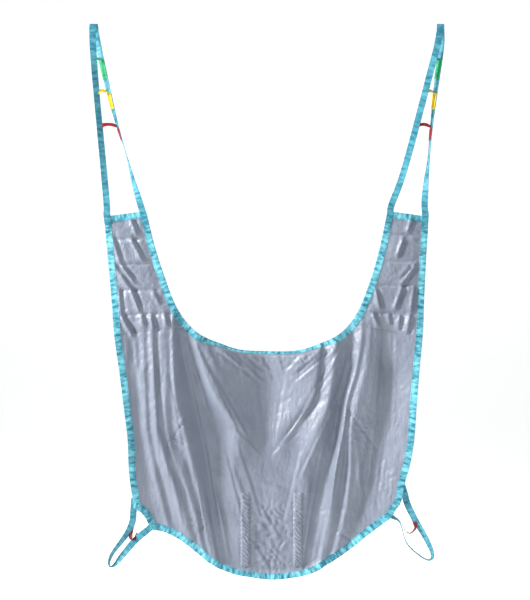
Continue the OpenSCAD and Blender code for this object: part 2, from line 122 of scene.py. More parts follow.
# Shoulder loops and the ends by which they are sewn behind the binding, as (x, z, twist), and their red
# tapes, as (x, y, z, twist). The axis, as two points (x, z), is the line at which a loop would turn on the
# body; nothing here turns it.
SHOULDER_Y = -9
LEFT_SHOULDER = [(x, SHOULDER_Y, z, twist) for x, z, twist in (
    (-415, -1522, 0), (-418, -1553, -8), (-434, -1588, -25), (-459, -1622, -40), (-480, -1650, -55),
    (-490, -1674, -72), (-490, -1688, -90), (-483, -1692, -108), (-471, -1684, -125), (-452, -1661, -150),
    (-410, -1611, -175), (-376, -1582, -180),
)]
RIGHT_SHOULDER = [(x, SHOULDER_Y, z, twist) for x, z, twist in (
    (435, -1484, 0), (443, -1506, 5), (457, -1534, 20), (475, -1566, 30), (497, -1604, 40),
    (513, -1638, 55), (518, -1658, 70), (513, -1669, 85), (502, -1671, 90), (482, -1661, 95),
    (456, -1640, 95), (438, -1620, 95), (429, -1599, 95), (422, -1572, 95), (415, -1553, 100),
    (405, -1543, 110),
)]
LEFT_SHOULDER_ENDS = ([(-411, -1478, 0), (-413, -1505, 0)], [(-364, -1572, -180), (-343, -1556, -180)])
RIGHT_SHOULDER_ENDS = ([(421, -1436, 0), (430, -1465, 0)], [(390, -1535, 140), (372, -1524, 160)])
LEFT_RED = [
    (-418, -6, -1560, 0), (-422, -6, -1578, 10), (-424, -8, -1594, 20), (-420, -13, -1605, 50),
    (-413, -14, -1608, 110), (-406, -9, -1602, 150), (-400, -5.5, -1590, 178),
]
RIGHT_RED = [
    (457, -6, -1540, 25), (463, -7, -1557, 35), (464, -9, -1572, 70), (451, -9, -1587, 90),
    (438, -9, -1585, 90), (430, -9, -1575, 92), (424, -9, -1562, 95),
]
LEFT_SHOULDER_AXIS = ((-413, -1512), (-363, -1579))
RIGHT_SHOULDER_AXIS = ((429, -1472), (393, -1541))

# ---- Lines ----


def spline(points, steps):
    """A smooth curve through the points, with so many steps from each point to the next."""
    p = np.array(points, float)
    a = np.vstack([p[:1], p[:-1]])[:-1]
    b = p[:-1]
    c = p[1:]
    d = np.vstack([p[2:], p[-1:]])
    t = (np.arange(steps) / steps)[None, :, None]
    a, b, c, d = (q[:, None, :] for q in (a, b, c, d))
    q = 0.5 * (2 * b + (c - a) * t + (2 * a - 5 * b + 4 * c - d) * t**2 + (3 * b - a - 3 * c + d) * t**3)
    return np.vstack([q.reshape(-1, p.shape[1]), p[-1:]])


def distances(line):
    """Distance along a line, at each of its points. Columns after the third are not places."""
    step = np.linalg.norm(np.diff(line[:, :3], axis=0), axis=1)
    return np.concatenate([[0], np.cumsum(step)])


def divided(line, count):
    """The line as so many points, evenly spaced."""
    s = distances(line)
    at = np.linspace(0, s[-1], count)
    return np.column_stack([np.interp(at, s, line[:, k]) for k in range(line.shape[1])])


def point_at(line, z):
    """The point where a falling line [x, z] reaches a height."""
    return np.array([np.interp(-z, -line[:, 1], line[:, 0]), z])


def between(line, z_high, z_low):
    """The part of a falling line [x, z] between two heights."""
    inside = line[(line[:, 1] < z_high - 1) & (line[:, 1] > z_low + 1)]
    return np.vstack([point_at(line, z_high), inside, point_at(line, z_low)])


def unit(v):
    """Directions of one length, along the last axis."""
    return v / np.maximum(np.linalg.norm(v, axis=-1, keepdims=True), 1e-9)


def smoothstep(t):
    t = np.clip(t, 0, 1)
    return t * t * (3 - 2 * t)


def window(value, low, high, soft):
    """A mask from 0 to 1: one between two limits, with soft ends inside them."""
    return smoothstep((value - low) / soft) * smoothstep((high - value) / soft)


aperture = spline(APERTURE_EDGE, 8)
lowest = int(np.argmin(aperture[:, 1]))
left_inner = aperture[: lowest + 1]
right_inner = aperture[lowest:][::-1]
left_side = spline(LEFT_SIDE, 8)
right_side = spline(RIGHT_SIDE, 8)
head_edge = spline(HEAD_EDGE, 8)

# ---- The hang of the cloth ----

# Folds of the body: at each height, the same fold lines from the left edge to the right one, as (x, y).
# The cloth rises to a ridge and falls into a valley from one line to the next.
FOLDS = {
    -860: [(x, 0) for x in (
        -484, -414, -384, -371, -355, -345, -310, -300, -290, -270, -262, -255, -225, -10, 173, 186, 223,
        270, 300, 311, 322, 340, 370, 492,
    )],
    -965: [
        (-474, -16), (-414, -8), (-384, -14), (-373, -12), (-356, -17), (-346, -11), (-312, -16),
        (-303, -13), (-293, -17), (-270, 4), (-264, 2), (-256, 5), (-225, -6), (-8, 22), (172, -2),
        (184, 3), (220, -7), (268, 6), (301, -12), (309, -9), (322, -12), (342, -8), (371, 2), (486, -16),
    ],
    -1085: [
        (-458, -22), (-408, -11), (-380, -19), (-368, -16), (-351, -25), (-341, -15), (-312, -22),
        (-300, -17), (-288, -23), (-250, 17), (-243, 13), (-232, 16), (-194, -8), (-5, 48), (160, -2),
        (173, 5), (208, -9), (258, 12), (281, -11), (289, -6), (310, -14), (338, -8), (373, 13), (475, -22),
    ],
    -1173: [
        (-447, -24), (-402, -12), (-376, -22), (-365, -19), (-347, -28), (-336, -17), (-314, -26),
        (-297, -20), (-284, -26), (-227, 22), (-220, 17), (-205, 21), (-154, -8), (-2, 50), (146, -1),
        (160, 7), (198, -9), (226, 14), (252, -8), (260, -3), (282, -13), (323, -8), (377, 15), (467, -24),
    ],
    -1267: [
        (-436, -24), (-395, -12), (-373, -21), (-363, -18), (-337, -28), (-327, -16), (-314, -21),
        (-292, -13), (-256, -21), (-208, 22), (-196, 18), (-160, 25), (-82, 2), (-14, 38), (56, 16),
        (84, 20), (167, -6), (218, 16), (242, -9), (252, -2), (264, -9), (288, -3), (367, 14), (461, -24),
    ],
    -1392: [
        (-429, -22), (-373, -8), (-345, -15), (-335, -12), (-305, -23), (-286, -11), (-270, -18),
        (-241, -7), (-227, -14), (-182, 20), (-170, 16), (-153, 20), (-104, 9), (-10, 17), (40, 15),
        (70, 17), (117, 7), (192, 21), (213, -3), (246, 9), (261, -6), (280, -1), (337, 13), (446, -22),
    ],
    -1517: [
        (-408, -18), (-358, -5), (-322, -8), (-302, -6), (-261, -15), (-242, -5), (-225, -11), (-212, -3),
        (-202, -8), (-164, 15), (-150, 12), (-135, 15), (-83, 10), (-10, 15), (30, 14), (60, 16),
        (100, 10), (164, 19), (205, 1), (234, 9), (248, -3), (262, 1), (296, 11), (420, -18),
    ],
    -1600: [
        (-350, -13), (-320, -6), (-290, -8), (-272, -6), (-240, -10), (-222, -4), (-208, -7), (-196, -2),
        (-186, -5), (-140, 9), (-125, 8), (-110, 10), (-70, 8), (-5, 16), (30, 14), (60, 14), (100, 9),
        (152, 13), (195, 2), (214, 6), (230, -1), (242, 1), (272, 5), (352, -13),
    ],
    -1745: [
        (-280, -6), (-255, -4), (-232, -5), (-216, -4), (-192, -5), (-178, -2), (-166, -3), (-156, -1),
        (-148, -2), (-112, 4), (-100, 4), (-88, 5), (-56, 4), (0, 8), (28, 7), (55, 7), (88, 5), (122, 6),
        (158, 1), (174, 3), (188, 0), (198, 1), (222, 2), (290, -6),
    ],
}
# Diagonal drapes of the leg sections, each from its upper to its lower end, as (x, z, x, z, half the depth)
LEG_DRAPES = [
    (-417, -612, -402, -652, 3.2), (-416, -673, -387, -730, 3.4), (-474, -673, -453, -742, 3.2),
    (-470, -755, -424, -820, 2.6), (-447, -755, -410, -802, 3.4), (-418, -827, -393, -893, 3.8),
    (-456, -830, -449, -902, 2.6), (-446, -912, -415, -968, 4.2), (-355, -909, -348, -950, 2.6),
    (-314, -902, -306, -940, 2.6), (-385, -905, -379, -940, 2.4), (-352, -829, -330, -870, 2.0),
    (459, -605, 445, -648, 3.4), (430, -673, 413, -722, 3.8), (469, -755, 426, -811, 3.4),
    (448, -757, 420, -790, 2.0), (427, -823, 404, -888, 3.6), (465, -823, 455, -895, 3.0),
    (345, -829, 358, -886, 3.2), (336, -902, 352, -940, 3.4), (421, -911, 414, -951, 2.6),
    (452, -908, 441, -962, 2.8), (385, -905, 388, -935, 2.2),
]
# Smaller drapes of the body, as (x, z, x, z, depth)
BODY_DRAPES = [
    (-405, -985, -398, -1075, 2.4), (-432, -985, -424, -1050, 2.0), (-318, -955, -322, -1090, 1.6),
    (-178, -1012, -150, -1075, 2.6), (-96, -1042, -60, -1100, 2.6), (180, -1012, 150, -1060, 2.0),
    (-100, -1390, -60, -1500, 1.6), (-300, -1290, -262, -1480, 2.2), (-265, -1300, -222, -1500, 2.0),
    (-344, -1390, -300, -1560, 2.4), (288, -1290, 300, -1460, 2.0), (312, -1300, 296, -1420, 2.4),
    (330, -1400, 290, -1540, 2.2), (140, -1420, 128, -1560, 1.8), (-150, -1480, -120, -1600, 2.0),
    (-14, -1428, 58, -1455, 1.4), (-75, -1040, -30, -1085, 2.2), (128, -1040, 96, -1082, 2.2),
]
# Sharper creases that run from the edges of the seat towards the middle of the body
BODY_CREASES = [
    (-208, -1017, -95, -1252, 2.4), (-164, -1095, -52, -1298, 2.0), (223, -1023, 80, -1267, -2.6),
    (189, -1111, 42, -1317, -2.2), (245, -1111, 114, -1392, -2.6), (-83, -1330, -14, -1548, 1.7),
    (105, -1345, 58, -1548, -1.8), (-139, -1298, -73, -1548, 2.2), (167, -1345, 127, -1580, -1.9),
    (245, -1236, 205, -1486, 2.0), (-348, -1001, -333, -1330, 1.6), (-120, -1240, -20, -1345, 1.5),
    (20, -1345, 90, -1290, 1.3), (-245, -1010, -196, -1170, 2.0), (-300, -1120, -262, -1300, 1.6),
    (270, -1010, 214, -1200, -2.0), (360, -1010, 345, -1200, 1.6), (400, -1000, 392, -1260, -1.5),
    (-430, -1080, -408, -1400, 1.5), (-30, -1120, -10, -1300, 1.2), (60, -1100, 30, -1290, -1.2),
    (-190, -1470, -150, -1680, 3.0), (-228, -1400, -206, -1590, 2.4), (-170, -1400, -120, -1640, 2.6),
    (150, -1480, 116, -1690, 2.6), (196, -1500, 166, -1660, -2.4), (-295, -1380, -262, -1540, 2.2),
    (60, -1560, 20, -1640, 2.0), (-20, -1500, 40, -1600, 2.0), (-40, -1620, 10, -1700, 1.8),
    (-330, -1180, -300, -1420, 1.8), (330, -1290, 310, -1480, -1.8), (362, -1330, 340, -1500, 1.6),
    (-152, -1017, -64, -1086, -3.0), (-95, -1036, -14, -1114, 2.8), (-52, -1042, 5, -1086, -2.4),
    (-14, -1042, 17, -1111, 2.4), (105, -1036, 67, -1080, -2.6), (161, -1030, 95, -1086, 3.0),
    (198, -1023, 105, -1105, -2.4), (-120, -1028, -88, -1062, 2.2), (40, -1040, 52, -1082, 2.0),
]
# Sewn darts, as (x, z, x, z, reach). The first two pucker the cloth so far to each side.
PUCKERED_DARTS = [(-239, -1220, -317, -1323, 15), (255, -1205, 345, -1327, 15)]
PLAIN_DARTS = [(-198, -1567, -230, -1614, 6), (219, -1581, 267, -1613, 6), (10, -1672, 13, -1716, 5)]

# Crumpled places, as (x, z, half width, half height, depth, wavelength)
CRUMPLES = [
    (-150, -1040, 34, 26, 2.6, 34), (-52, -1072, 58, 34, 1.6, 50), (45, -1060, 60, 26, 1.2, 44),
    (122, -1052, 34, 24, 2.2, 30), (MIDDLE_X, -1600, 56, 96, 3.4, 52), (MIDDLE_X, -1690, 90, 26, 1.6, 26),
    (-255, -1270, 46, 62, 1.4, 40), (300, -1270, 46, 62, 1.4, 40), (-215, -1545, 36, 46, 1.6, 30),
    (245, -1560, 36, 46, 1.4, 30), (380, -1440, 30, 60, 1.2, 34),
]

# Stay channels, sewn along both long sides to the front of the body
CHANNEL_W = 30
CHANNELS_X = (MIDDLE_X - 82.5, MIDDLE_X + 82.5)
CHANNEL_TOP_Z = -1462
CHANNEL_BOTTOM_Z = -1697
STAY_W = 22

SIDE_FOLD_CONTRAST = 1.25  # how much single folds stand out from the broad hang, at the sides
MIDDLE_FOLD_CONTRAST = 1.8  # and in the middle
FOLD_EASE = 22  # how softly the folds pass from one height of the table to the next
BROAD_BLUR = 45  # the broad hang is the folds smoothed over this width
TROUGH_BLUR = 15  # the trough below the seat is rounder than the folds beside it
SEAT_TUCK_PITCH = 15  # small tucks beside the seat seams
SEAM_TUCK_PITCH = 14  # and beside the seams of the stay channels
CHANNEL_TUCK_PITCH = 13  # and in the channels' own cloth
FRONT_LIMIT_Y = -27  # the folds come no further forward
REAR_LIMIT_Y = 54  # and go no further back
CELL = 2  # the hang is kept as heights on a grid of this pitch
grid_x = np.arange(-560, 580, CELL).astype(float)
grid_z = np.arange(-540, -1760, -CELL).astype(float)
GX, GZ = np.meshgrid(grid_x, grid_z)


def blur(field, sigma, axis):
    """The field smoothed along one axis, sigma in millimetres."""
    reach = int(3 * sigma / CELL) + 1
    kernel = np.exp(-0.5 * (np.arange(-reach, reach + 1) * CELL / sigma) ** 2)
    kernel /= kernel.sum()
    edges = [(0, 0)] * field.ndim
    edges[axis] = (reach, reach)
    wide = np.pad(field, edges, mode="edge")
    return np.apply_along_axis(lambda row: np.convolve(row, kernel, mode="valid"), axis, wide)


def ripples(x, z, wavelength, seed, count=9, spread=0.35):
    """A smooth random field from -1 to 1, of about one wavelength."""
    rng = np.random.default_rng(seed)
    total = np.zeros_like(x)
    for _ in range(count):
        angle, phase = rng.uniform(0, TURN, 2)
        k = TURN / (wavelength * rng.uniform(1 - spread, 1 + spread))
        total += np.sin((x * math.cos(angle) + z * math.sin(angle)) * k + phase)
    return total / math.sqrt(count * 2.2)


def crumple(x, z, wavelength, seed, count=5):
    """Sharp-edged crumples, from -1 to 1."""
    wx = x + wavelength * 0.35 * ripples(x, z, wavelength * 1.7, seed + 50)
    wz = z + wavelength * 0.35 * ripples(x, z, wavelength * 1.7, seed + 90)
    rng = np.random.default_rng(seed)
    total = np.zeros_like(x)
    for _ in range(count):
        angle, phase = rng.uniform(0, TURN, 2)
        k = TURN / (wavelength * rng.uniform(0.7, 1.4))
        s = np.sin((wx * math.cos(angle) + wz * math.sin(angle)) * k + phase)
        total += 1 - 2 * np.abs(s) ** 0.8
    return total / (count * 0.55)


def along_segment(x, z, x1, z1, x2, z2):
    """For each point: how far along a segment, 0 to 1, how far off it to the right, and its length."""
    d = np.array([x2 - x1, z2 - z1], float)
    length = np.linalg.norm(d)
    t = ((x - x1) * d[0] + (z - z1) * d[1]) / length**2
    off = ((x - x1) * -d[1] + (z - z1) * d[0]) / length
    return t, off, length


def drape(x, z, x1, z1, x2, z2, depth, width):
    """A fold that comes forward on the left of a line and falls back on its right."""
    t, off, _ = along_segment(x, z, x1, z1, x2, z2)
    return depth * window(t, -0.25, 1.25, 0.4) * (off / width) * np.exp(0.5 - 0.5 * (off / width) ** 2)


def dart(x, z, x1, z1, x2, z2, reach, depth, pucker, pitch=11.0):
    """A sewn line that draws the cloth in, with puckers across it."""
    t, off, length = along_segment(x, z, x1, z1, x2, z2)
    furrow = depth * np.exp(-((off / 3.0) ** 2))
    across = pucker * np.sin(TURN * (t * length + 0.6 * np.abs(off)) / pitch)
    across = across * np.exp(-((off / reach) ** 2)) * (1 - np.exp(-((off / 4) ** 2)))
    return window(t, -0.08, 1.08, 0.12) * (furrow + across)


def patch(x, z, middle_x, middle_z, half_x, half_z):
    """A soft round mask."""
    return smoothstep(1.6 - np.hypot((x - middle_x) / half_x, (z - middle_z) / half_z))


def folds_field():
    """The folds of the body over the whole grid."""
    heights = sorted(FOLDS)
    lines = np.array([FOLDS[z] for z in heights], float)
    count = lines.shape[1]
    lines = [[np.interp(grid_z, heights, lines[:, i, k]) for i in range(count)] for k in (0, 1)]
    x_of, y_of = (blur(np.stack(columns, axis=1), FOLD_EASE, 0) for columns in lines)
    rows = []
    for xs, ys in zip(x_of, y_of):
        i = np.clip(np.searchsorted(xs, grid_x) - 1, 0, count - 2)
        t = np.clip((grid_x - xs[i]) / (xs[i + 1] - xs[i]), 0, 1)
        rows.append(ys[i] + (ys[i + 1] - ys[i]) * (0.6 * t + 0.4 * smoothstep(t)))
    field = blur(blur(np.array(rows), 2.0, 1), 7, 0)
    broad = blur(field, BROAD_BLUR, 1)
    middle = smoothstep((270 - np.abs(GX - MIDDLE_X)) / 110)
    contrast = SIDE_FOLD_CONTRAST + (MIDDLE_FOLD_CONTRAST - SIDE_FOLD_CONTRAST) * middle
    field = broad + contrast * (field - broad)
    trough = smoothstep((150 - np.abs(GX + 5)) / 70)
    field = field + trough * (blur(field, TROUGH_BLUR, 1) - field)
    return np.clip(field, FRONT_LIMIT_Y, REAR_LIMIT_Y)


def seam_height(x, seam, outer_x, inner_x):
    share = (x - outer_x) / (inner_x - outer_x)
    return seam[0] + (seam[1] - seam[0]) * np.clip(share, 0, 1)


def height_field():
    """How far back the middle of the cloth lies, over the whole grid."""
    y = folds_field()
    body = smoothstep((-GZ - 930) / 60)
    leg = 1 - body
    # Each ripple or crumple below has a depth first, and then, inside the call, a wavelength and a seed
    y += body * 1.3 * ripples(GX, GZ, 95, 3) + body * 0.3 * ripples(GX, GZ * 0.45, 21, 4)
    y += leg * 0.9 * ripples(GX, GZ, 60, 5) + 0.65 * crumple(GX, GZ * 0.6, 46, 8)
    y += leg * 0.7 * crumple(GX, GZ, 36, 12)
    for drapes, scale, width in ((LEG_DRAPES, 2.0, 5.8), (BODY_DRAPES, 1, 7.5), (BODY_CREASES, 1, 4.6)):
        for *ends, depth in drapes:
            y += drape(GX, GZ, *ends, scale * depth, width)
    for darts, depth, pucker in ((PUCKERED_DARTS, 3.2, 2.4), (PLAIN_DARTS, 3.4, 0)):
        for *ends, reach in darts:
            y += dart(GX, GZ, *ends, reach, depth, pucker)
    for seam, outer, inner in (
        (LEFT_SEAM_Z, left_side, left_inner),
        (RIGHT_SEAM_Z, right_side, right_inner),
    ):
        outer_x, inner_x = point_at(outer, seam[0])[0], point_at(inner, seam[1])[0]
        below = seam_height(GX, seam, outer_x, inner_x) - GZ
        inside = window(GX, min(outer_x, inner_x), max(outer_x, inner_x), 12)
        tucks = np.sin(TURN * GX / SEAT_TUCK_PITCH + 1.5 * ripples(GX, GZ * 0, 80, 6))
        y += inside * 0.8 * tucks * np.exp(-np.abs(below) / 24) * (1 - np.exp(-np.abs(below) / 5))
        y += inside * 1.6 * np.exp(-((below / 3.5) ** 2))
    for x, z, half_x, half_z, depth, wavelength in CRUMPLES:
        y += depth * patch(GX, GZ, x, z, half_x, half_z) * crumple(GX, GZ, wavelength, int(abs(x) + half_x))
    for middle in CHANNELS_X:
        off = GX - middle
        sewn = window(GZ, CHANNEL_BOTTOM_Z, CHANNEL_TOP_Z, 16)
        from_seam = np.abs(off) - CHANNEL_W / 2
        y += sewn * 1.6 * np.exp(-((from_seam / 2.2) ** 2))
        tucks = np.sin(TURN * (GZ - 0.7 * np.abs(off)) / SEAM_TUCK_PITCH)
        y += sewn * 1.2 * tucks * np.exp(-((from_seam / 9) ** 2))
    return blur(blur(y, 1.5, 1), 1.5, 0)


HEIGHT = height_field()


def sample(field, x, z):
    """The field's value at any points, between its cells."""
    fx = np.clip((x - grid_x[0]) / CELL, 0, len(grid_x) - 1.001)
    fz = np.clip((grid_z[0] - z) / CELL, 0, len(grid_z) - 1.001)
    i, j = fz.astype(int), fx.astype(int)
    a, b = fz - i, fx - j
    top = field[i, j] * (1 - b) + field[i, j + 1] * b
    low = field[i + 1, j] * (1 - b) + field[i + 1, j + 1] * b
    return top * (1 - a) + low * a


def nearest(x, z, line):
    """Distance from each point to a line [x, z], and the height and place of the nearest point on it."""
    flat = np.column_stack([x.ravel(), z.ravel()])
    best = np.full(len(flat), 1e9)
    at = np.zeros((len(flat), 2))
    for p, q in zip(line[:-1], line[1:]):
        d = q - p
        t = np.clip(((flat - p) @ d) / (d @ d), 0, 1)
        foot = p + t[:, None] * d
        gap = np.linalg.norm(flat - foot, axis=1)
        closer = gap < best
        best[closer] = gap[closer]
        at[closer] = foot[closer]
    return best.reshape(x.shape), at[:, 0].reshape(x.shape), at[:, 1].reshape(x.shape)


# The low edge of the aperture leans back, and the middle of the head edge comes forward.
SEAT_LEAN = 21
HEAD_LEAN = -17
aperture_coarse = spline(APERTURE_EDGE, 3)
head_coarse = spline(HEAD_EDGE, 3)


def seat_share(z):
    return smoothstep((-z - 968) / 42)


def head_share(x):
    return smoothstep((235 - np.abs(x - MIDDLE_X)) / 150)


def seen_width(x, z, which):
    """Width of the binding as it is seen from the front, where its edge leans."""
    if which == "aperture":
        return TAPE_W - 11.5 * seat_share(z)
    if which == "head":
        return TAPE_W - 4.0 * head_share(x)
    return np.full_like(x, TAPE_W)


def cloth_y(x, z):
    """How far back the middle of the cloth lies, at any points."""
    y = sample(HEIGHT, x, z)
    gap, ex, ez = nearest(x, z, aperture_coarse)
    wide = seen_width(ex, ez, "aperture")
    y += SEAT_LEAN * seat_share(ez) * (1 - smoothstep(gap / (wide * 1.9)))
    gap, ex, ez = nearest(x, z, head_coarse)
    wide = seen_width(ex, ez, "head")
    y += HEAD_LEAN * head_share(ex) * (1 - smoothstep(gap / (wide * 1.9)))
    return y


def cloth_at(x, z):
    """How far back the middle of the cloth lies, at one point."""
    return float(cloth_y(np.array([float(x)]), np.array([float(z)]))[0])


# ---- Meshes ----


def grid_faces(rows, columns, first=0, flip=False):
    i, j = np.meshgrid(np.arange(rows - 1), np.arange(columns - 1), indexing="ij")
    a = first + i * columns + j
    quads = np.stack([a, a + 1, a + columns + 1, a + columns], axis=-1).reshape(-1, 4)
    return quads[:, ::-1] if flip else quads


def make(name, points, faces, uv, material, sharp=40):
    """A mesh object from points in millimetres and places on the cloth, also in millimetres."""
    mesh = bpy.data.meshes.new(name)
    mesh.from_pydata((np.asarray(points) * MM).tolist(), [], [list(map(int, f)) for f in faces])
    layer = mesh.uv_layers.new(name="cloth")
    loops = np.zeros(len(mesh.loops), int)
    mesh.loops.foreach_get("vertex_index", loops)
    layer.data.foreach_set("uv", (np.asarray(uv)[loops] * MM).astype(np.float32).ravel())
    mesh.materials.append(material)
    mesh.shade_smooth()
    mesh.set_sharp_from_angle(angle=math.radians(sharp))
    piece = bpy.data.objects.new(name, mesh)
    bpy.context.scene.collection.objects.link(piece)
    return piece


def shell(name, flat, front_y, back_y, material):
    """A closed piece of cloth over a grid of [x, z], between two grids of y, with a rim round its edge."""
    rows, columns = front_y.shape
    count = rows * columns
    faces = [grid_faces(rows, columns, 0, True), grid_faces(rows, columns, count)]
    ring = np.concatenate([
        np.arange(columns), np.arange(1, rows) * columns + columns - 1,
        (rows - 1) * columns + np.arange(columns - 2, -1, -1), np.arange(rows - 2, 0, -1) * columns,
    ])
    after = np.roll(ring, -1)
    faces.append(np.stack([ring, after, after + count, ring + count], axis=-1))
    flat = flat.reshape(-1, 2)
    points = np.vstack([np.column_stack([flat[:, 0], y.ravel(), flat[:, 1]]) for y in (front_y, back_y)])
    return make(name, points, np.vstack(faces), np.vstack([flat, flat]), material)


def tube(rings):
    """Points and faces of a closed solid through rings of points."""
    n, m = rings.shape[:2]
    faces = []
    i, k = np.meshgrid(np.arange(n - 1), np.arange(m), indexing="ij")
    a, b = i * m + k, i * m + (k + 1) % m
    faces.extend(np.stack([a, a + m, b + m, b], axis=-1).reshape(-1, 4).tolist())
    faces.append(list(range(m)))
    faces.append([(n - 1) * m + k for k in range(m - 1, -1, -1)])
    return rings.reshape(-1, 3), faces


def swept(name, rings, uv, material, sharp=50):
    points, faces = tube(rings)
    return make(name, points, faces, uv.reshape(-1, 2), material, sharp)


def settle(piece, rides_on, node):
    """The piece moves with one body and stands for one CAD node, which it hides."""
    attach(piece, rides_on)
    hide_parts(node)


def joined(name, solids, material):
    """One mesh of several solids, each (points, faces)."""
    points, faces, first = [], [], 0
    for p, f in solids:
        points.append(p)
        faces.extend([[v + first for v in face] for face in f])
        first += len(p)
    points = np.vstack(points)
    return make(name, points, faces, points[:, [0, 2]], material, 60)


# ---- Materials ----


class Shader:
    """A material's node tree, with short calls for what the recipes below need."""

    def __init__(self, name, roughness, sheen=0.0, specular=0.5):
        self.material = bpy.data.materials.new(name)
        self.material.use_nodes = True
        self.tree = self.material.node_tree
        self.shader = self.tree.nodes["Principled BSDF"]
        self.shader.inputs["Roughness"].default_value = roughness
        self.shader.inputs["Sheen Weight"].default_value = sheen
        self.shader.inputs["Sheen Roughness"].default_value = 0.4
        self.shader.inputs["Specular IOR Level"].default_value = specular
        self.cloth = self.node("ShaderNodeUVMap", uv_map="cloth").outputs["UV"]

    def node(self, kind, **settings):
        made = self.tree.nodes.new(kind)
        for key, value in settings.items():
            setattr(made, key, value)
        return made

    def link(self, a, b):
        self.tree.links.new(a, b)

    def scaled(self, x, y, turn=0.0):
        made = self.node("ShaderNodeMapping")
        made.inputs["Scale"].default_value = (x, y, 1)
        made.inputs["Rotation"].default_value = (0, 0, math.radians(turn))
        self.link(self.cloth, made.inputs["Vector"])
        return made.outputs["Vector"]

    def noise(self, vector, scale, detail=4.0, rough=0.55):
        made = self.node("ShaderNodeTexNoise")
        made.inputs["Scale"].default_value = scale
        made.inputs["Detail"].default_value = detail
        made.inputs["Roughness"].default_value = rough
        self.link(vector, made.inputs["Vector"])
        return made.outputs["Fac"]

    def wave(self, vector, direction):
        """Bands across a direction, one wave to every two units or so."""
        made = self.node("ShaderNodeTexWave", bands_direction=direction)
        made.inputs["Scale"].default_value = 0.16
        self.link(vector, made.inputs["Vector"])
        return made.outputs["Fac"]

    def math(self, operation, a, b=None):
        made = self.node("ShaderNodeMath", operation=operation)
        for socket, value in zip(made.inputs, (a, b)):
            if isinstance(value, (int, float)):
                socket.default_value = value
            elif value is not None:
                self.link(value, socket)
        return made.outputs[0]

    def ramp(self, value, stops):
        made = self.node("ShaderNodeValToRGB")
        while len(made.color_ramp.elements) < len(stops):
            made.color_ramp.elements.new(0.5)
        for element, (at, colour) in zip(made.color_ramp.elements, stops):
            element.position = at
            element.color = (*colour, 1)
        self.link(value, made.inputs["Fac"])
        return made.outputs["Color"]

    def mix(self, share, a, b):
        made = self.node("ShaderNodeMix", data_type="RGBA")
        self.link(share, made.inputs["Factor"])
        for socket, value in ((made.inputs[6], a), (made.inputs[7], b)):
            if isinstance(value, tuple):
                socket.default_value = (*value, 1)
            else:
                self.link(value, socket)
        return made.outputs[2]

    def bump(self, layers):
        """Bump nodes one after another, each from (height, distance in millimetres)."""
        normal = None
        for height, distance in layers:
            made = self.node("ShaderNodeBump")
            made.inputs["Strength"].default_value = 1.0
            made.inputs["Distance"].default_value = distance * MM
            self.link(height, made.inputs["Height"])
            if normal is not None:
                self.link(normal, made.inputs["Normal"])
            normal = made.outputs["Normal"]
        self.link(normal, self.shader.inputs["Normal"])

    def colour(self, socket):
        self.link(socket, self.shader.inputs["Base Color"])

    def roughness(self, value, low, high):
        made = self.node("ShaderNodeMapRange")
        made.inputs["To Min"].default_value = low
        made.inputs["To Max"].default_value = high
        self.link(value, made.inputs["Value"])
        self.link(made.outputs["Result"], self.shader.inputs["Roughness"])


def weave(s, threads_per_m):
    """Height of a plain weave: threads over and under, in both directions."""
    warp = s.wave(s.scaled(threads_per_m, 1), "X")
    weft = s.wave(s.scaled(1, threads_per_m), "Y")
    return s.math("MAXIMUM", warp, weft)


def satin(name):
    s = Shader(name, 0.45, sheen=0.05, specular=0.55)
    cloud = s.noise(s.scaled(1, 1), 9.0, 3.0)
    slub = s.noise(s.scaled(40, 900), 1.0, 2.0)
    shade = s.math("ADD", s.math("MULTIPLY", cloud, 0.7), s.math("MULTIPLY", slub, 0.3))
    s.colour(s.ramp(shade, [(0.3, (0.140, 0.162, 0.209)), (0.7, (0.192, 0.218, 0.274))]))
    s.roughness(cloud, 0.38, 0.47)
    fine = s.noise(s.scaled(1, 0.6), 60.0, 3.0)
    crinkle = s.noise(s.scaled(1, 0.5), 24.0, 2.0)
    hatch = s.noise(s.scaled(150, 34, 28), 1.0, 2.0)
    tiny = s.noise(s.scaled(1, 0.7), 150.0, 2.0)
    s.bump([(crinkle, 3.2), (fine, 2.2), (tiny, 0.7), (hatch, 1.0), (weave(s, 2200), 0.03)])
    return s.material


STITCH_INSET = 2.6  # the row of stitches lies this far inside the binding's inner edge
STITCH_HALF = 0.45  # half the width of the row
STITCH_PITCH = 3.4
STITCH_SHARE = 0.74  # the share of the pitch that one stitch takes


def tape_cloth(name, dark, light, stitched):
    """Woven tape: fine ribs across, soft puckers with painted shade in their hollows and painted highlight
    on their crests, and on a binding a row of stitches along it.
    """
    s = Shader(name, 0.5, sheen=0.02, specular=0.25)
    # This noise is the height of the tape's soft puckers and also most of its colour: the hollows are
    # painted darker and the crests lighter, as painted shade and painted highlight. The broad noise is
    # random tone.
    puckers_and_painted_shade = s.noise(s.scaled(26, 92), 1.0, 2.0, 0.6)
    broad = s.noise(s.scaled(8, 9), 1.0, 2.0)
    shade = s.math("ADD", s.math("MULTIPLY", puckers_and_painted_shade, 0.65), s.math("MULTIPLY", broad, 0.35))
    base = s.ramp(shade, [(0.40, dark), (0.60, light)])
    ribs = s.wave(s.scaled(1, 900), "Y")
    layers = [(puckers_and_painted_shade, 2.0), (ribs, 0.06), (s.wave(s.scaled(1300, 1), "X"), 0.03)]
    if stitched:
        separate = s.node("ShaderNodeSeparateXYZ")
        s.link(s.cloth, separate.inputs[0])
        u, v = separate.outputs[0], separate.outputs[1]
        off_row = s.math("ABSOLUTE", s.math("SUBTRACT", u, (TAPE_W - STITCH_INSET) * MM))
        row = s.math("LESS_THAN", off_row, STITCH_HALF * MM)
        turn = s.math("FRACT", s.math("MULTIPLY", v, 1 / (STITCH_PITCH * MM)))
        dash = s.math("LESS_THAN", turn, STITCH_SHARE)
        stitch = s.math("MULTIPLY", row, dash)
        base = s.mix(stitch, base, tuple(c * 0.8 for c in dark))
        layers.append((stitch, 0.35))
    s.colour(base)
    s.bump(layers)
    return s.material


